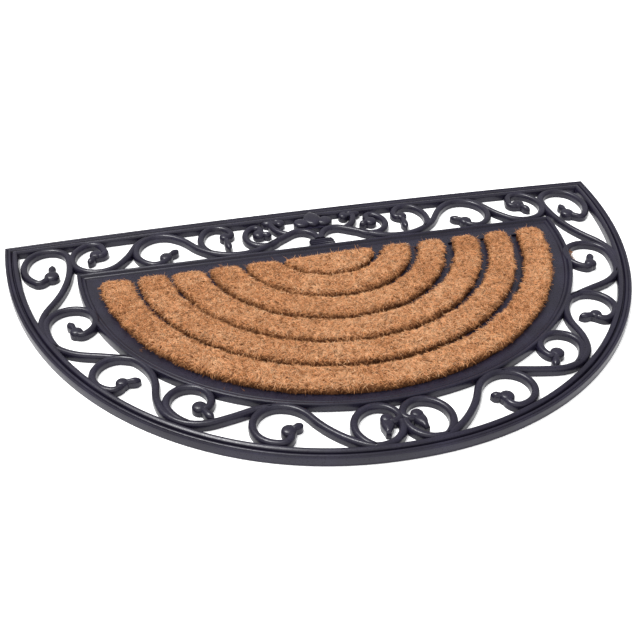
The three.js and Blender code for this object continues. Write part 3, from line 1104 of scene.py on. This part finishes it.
def sliver_mesh(name, root, tip, width, tone, rng):
    """Fibres as one mesh of closed slivers, too many for an operator on each."""
    count = len(root)
    along = tip - root
    along /= np.linalg.norm(along, axis=1)[:, None]
    helper = np.where(np.abs(along[:, 2:]) < STEEP_LIMIT, [[0, 0, 1]], [[1, 0, 0]])
    first = np.cross(along, helper)
    first /= np.linalg.norm(first, axis=1)[:, None]
    second = np.cross(along, first)
    spin = rng.uniform(0, 2 * math.pi, count)
    half = width * rng.uniform(*SLIVER_WIDTH, count) / 2
    verts = np.empty((count, SLIVER_CORNERS, 3))
    for corner in range(ROOT_CORNERS):
        angle = spin + corner * 2 * math.pi / ROOT_CORNERS
        across = first * np.cos(angle)[:, None] + second * np.sin(angle)[:, None]
        verts[:, corner] = root + across * half[:, None]
    verts[:, -1] = tip
    verts[..., 1] = bowed(verts[..., 0], verts[..., 1])
    faces = (np.arange(count)[:, None, None] * SLIVER_CORNERS + np.array(SLIVER_FACES)).reshape(-1)
    tones = np.repeat(tone[:, None], SLIVER_CORNERS, 1)
    # Painted shade: each fibre's root corners are darker than its tip
    tones[:, :ROOT_CORNERS] -= ROOT_PAINTED_SHADE
    mesh = bpy.data.meshes.new(name)
    mesh.vertices.add(count * SLIVER_CORNERS)
    mesh.vertices.foreach_set("co", (verts * MM).astype(np.float32).ravel())
    mesh.loops.add(len(faces))
    mesh.loops.foreach_set("vertex_index", faces.astype(np.int32))
    mesh.polygons.add(count * len(SLIVER_FACES))
    mesh.polygons.foreach_set("loop_start", np.arange(0, len(faces), 3, dtype=np.int32))
    mesh.update(calc_edges=True)
    attribute = mesh.attributes.new("fibre_tone_and_shade", "FLOAT", "POINT")
    attribute.data.foreach_set("value", np.clip(tones, 0, 1).astype(np.float32).ravel())
    return mesh


def core_mesh(name, inner, outer):
    """The matted core under the fibres of one insert, which follows the edge of its pile."""
    # The core gets no fibre tone of its own, so once joined it takes tone 0, the darkest fibre colour:
    # painted shade that shows in the gaps between the fibres
    core = bmesh.new()
    x, y, _ = np.array(coir_outline(inner, outer, 0, 0)).T
    depth, outward = edge_of_pile(x, y, inner, outer)
    outline = np.stack([x, y], 1) + outward * (depth - CORE_INSET)[:, None]
    far = outline[: POCKET_ARC_STEPS + 1]
    if inner:
        near = outline[: POCKET_ARC_STEPS : -1]
    else:
        near = np.stack([far[:, 0], np.full(len(far), COIR_END_Y - CORE_INSET)], 1)
    across = near - far
    width = np.hypot(across[:, 0], across[:, 1])
    drawn_in = across * np.minimum(CORE_CROWN / width, CORE_SHOULDER_SHARE)[:, None]
    shoulder = CORE_TOP - CORE_CROWN
    section = (
        (far, COIR_BOTTOM),
        (far, shoulder),
        (far + drawn_in, CORE_TOP),
        (near - drawn_in, CORE_TOP),
        (near, shoulder),
        (near, COIR_BOTTOM),
    )
    rows = [[Vector((*line[i], height)) for line, height in section] for i in range(len(far))]
    for end in carried(core, rows):
        bmesh.ops.contextual_create(core, geom=end)
    bmesh.ops.recalc_face_normals(core, faces=core.faces)
    return finished_mesh(name, core)


def joined(name, meshes):
    """Several meshes as one, with their attributes kept."""
    parts = []
    for mesh in meshes:
        part = bpy.data.objects.new(name, mesh)
        bpy.context.scene.collection.objects.link(part)
        parts.append(part)
    with bpy.context.temp_override(active_object=parts[0], selected_editable_objects=parts):
        bpy.ops.object.join()
    mesh = parts[0].data
    bpy.data.objects.remove(parts[0])
    mesh.name = name
    return mesh


def ring_area(inner, outer):
    """Area of an insert's top, near enough to share out its fibres."""
    return math.pi / 2 * (outer**2 - inner**2) - (outer - inner) * 2 * (COIR_CENTRE_Y - COIR_END_Y)


def wall_area(inner, outer):
    """Area of an insert's sides above the land, near enough to share out its fibres."""
    return (math.pi * (outer + inner) + 2 * (outer - inner)) * (COIR_TOP - LAND_TOP)


# Operators


class DOORMAT_OT_rubber_surround(bpy.types.Operator):
    """Builds the rubber surround: rim, tray with its pockets, scrollwork, flower and block"""

    bl_idname = "doormat.rubber_surround"
    bl_label = "Rubber surround"

    def execute(self, context):
        whole = bmesh.new()
        make_rim(whole)
        make_tray(whole)
        make_scrollwork(whole)
        make_flower(whole)
        make_block(whole)
        mesh = finished_mesh("rubber", whole)
        if not mesh.polygons:
            raise RuntimeError("The rubber surround has no faces")
        mesh.shade_smooth()
        mesh.set_sharp_from_angle(angle=math.radians(SHARP_ANGLE))
        material = moulded_rubber(context.scene.doormat_rubber)
        finished_piece("rubber", mesh, "rubber_surround", material)
        return {"FINISHED"}


class DOORMAT_OT_coir_inserts(bpy.types.Operator):
    """Builds the six coir inserts, each a matted core with its fibres"""

    bl_idname = "doormat.coir_inserts"
    bl_label = "Coir inserts"

    def execute(self, context):
        settings = context.scene.doormat_coir
        material = coir_pile(settings)
        length = settings.fibre_length / MM
        width = settings.fibre_width / MM
        for number, (node, (inner, outer)) in enumerate(COIR_RINGS.items()):
            rng = np.random.default_rng(PILE_SEED + number)
            on_top = int(settings.density * ring_area(inner, outer))
            on_walls = int(settings.density * wall_area(inner, outer))
            top = top_fibres(on_top, inner, outer, length, rng)
            wall = wall_fibres(on_walls, inner, outer, length, rng)
            stray = stray_fibres(int(on_walls * STRAY_SHARE), inner, outer, length, rng)
            root, tip, tone = (np.concatenate(group) for group in zip(top, wall, stray))
            fibres = sliver_mesh(node, root, tip, width, tone, rng)
            mesh = joined(node + "_pile", [fibres, core_mesh(node, inner, outer)])
            if len(mesh.polygons) <= len(SLIVER_FACES) * len(root):
                raise RuntimeError(f"The core of {node} is missing")
            finished_piece(node + "_pile", mesh, node, material)
        return {"FINISHED"}


class DOORMAT_OT_loose_fibres(bpy.types.Operator):
    """Scatters the loose fibres and the tuft that lie on and beside the rubber"""

    bl_idname = "doormat.loose_fibres"
    bl_label = "Loose fibres"

    def execute(self, context):
        settings = context.scene.doormat_coir
        rng = np.random.default_rng(LOOSE_SEED)
        middles = []
        for x, y, spread_x, spread_y, height, count in LOOSE_SPOTS:
            across = rng.normal(x, spread_x / 2, count)
            along = rng.normal(y, spread_y / 2, count)
            middles.append(np.column_stack([across, along, height + rng.uniform(*LOOSE_LIFT, count)]))
        middle = np.concatenate(middles)
        count = len(middle)
        if not count:
            raise RuntimeError("There are no loose fibres")
        heading = rng.uniform(0, 2 * math.pi, count)
        reach = rng.uniform(*LOOSE_LENGTH, count) / 2
        slope = rng.uniform(*LOOSE_SLOPE, count)
        half = np.column_stack([np.cos(heading), np.sin(heading), slope]) * reach[:, None]
        tone = rng.uniform(*LOOSE_TONE, count)
        width = settings.fibre_width / MM
        mesh = sliver_mesh("loose_fibres", middle - half, middle + half, width, tone, rng)
        finished_piece("loose_fibres", mesh, None, coir_pile(settings))
        return {"FINISHED"}


class DOORMAT_OT_stage(bpy.types.Operator):
    """Builds the floor, the lights and the camera"""

    bl_idname = "doormat.stage"
    bl_label = "Stage"

    def execute(self, context):
        scene = context.scene
        settings = scene.doormat_stage
        ground = bmesh.new()
        bmesh.ops.create_grid(ground, x_segments=1, y_segments=1, size=settings.floor_size / 2)
        mesh = bpy.data.meshes.new("floor")
        ground.to_mesh(mesh)
        ground.free()
        mesh.materials.append(lit_acrylic(settings))
        floor = bpy.data.objects.new("floor", mesh)
        scene.collection.objects.link(floor)

        lights = (
            ("softbox", settings.key_strength, settings.key_spread, KEY_PLACE),
            ("front_light", settings.fill_strength, math.radians(FILL_SPREAD), FILL_PLACE),
        )
        for name, strength, angle, place in lights:
            light = bpy.data.lights.new(name, "SUN")
            light.energy = strength
            light.angle = angle
            self.aim(scene, light, Vector(place), Vector((0, 0, 0)))

        world = bpy.data.worlds.new("White surroundings")
        world.use_nodes = True
        background = world.node_tree.nodes["Background"]
        background.inputs["Color"].default_value = opaque(linear("#ffffff"))
        background.inputs["Strength"].default_value = settings.sky_strength
        scene.world = world
        scene.view_settings.view_transform = "Standard"

        camera = bpy.data.cameras.new("camera")
        camera.angle = math.radians(CAMERA["view"])
        place = Vector(CAMERA["place"]) * MM
        scene.camera = self.aim(scene, camera, place, Vector(CAMERA["target"]) * MM)
        return {"FINISHED"}

    def aim(self, scene, data, place, target):
        """Puts a light or camera in place, turned towards its target."""
        item = bpy.data.objects.new(data.name, data)
        item.location = place
        item.rotation_euler = (target - place).to_track_quat("-Z", "Y").to_euler()
        scene.collection.objects.link(item)
        return item


# The settings on the scene: their name there, their class and the operators that read them
GROUPS = {
    "doormat_stage": (StageSettings, (DOORMAT_OT_stage,)),
    "doormat_rubber": (RubberSettings, (DOORMAT_OT_rubber_surround,)),
    "doormat_coir": (CoirSettings, (DOORMAT_OT_coir_inserts, DOORMAT_OT_loose_fibres)),
}


class DOORMAT_PT_pieces(bpy.types.Panel):
    """Lists the doormat's pieces and their settings"""

    bl_idname = "DOORMAT_PT_pieces"
    bl_label = "Half round doormat"
    bl_space_type = "VIEW_3D"
    bl_region_type = "UI"
    bl_category = "Doormat"

    def draw(self, context):
        layout = self.layout
        for group, (kind, operators) in GROUPS.items():
            box = layout.box()
            settings = getattr(context.scene, group)
            for name in kind.__annotations__:
                box.prop(settings, name)
            for operator in operators:
                box.operator(operator.bl_idname)


CLASSES = (
    StageSettings,
    RubberSettings,
    CoirSettings,
    DOORMAT_OT_stage,
    DOORMAT_OT_rubber_surround,
    DOORMAT_OT_coir_inserts,
    DOORMAT_OT_loose_fibres,
    DOORMAT_PT_pieces,
)


def register():
    """Registers the classes, and hangs the settings on the scene."""
    for item in CLASSES:
        bpy.utils.register_class(item)
    for name, (kind, _) in GROUPS.items():
        setattr(bpy.types.Scene, name, bpy.props.PointerProperty(type=kind))


def unregister():
    """Takes the settings and the classes away again."""
    for name in GROUPS:
        delattr(bpy.types.Scene, name)
    for item in reversed(CLASSES):
        bpy.utils.unregister_class(item)


def main():
    """Builds everything in order."""
    register()
    bpy.ops.doormat.stage()
    bpy.ops.doormat.rubber_surround()
    bpy.ops.doormat.coir_inserts()
    bpy.ops.doormat.loose_fibres()


if __name__ == "__main__":
    main()
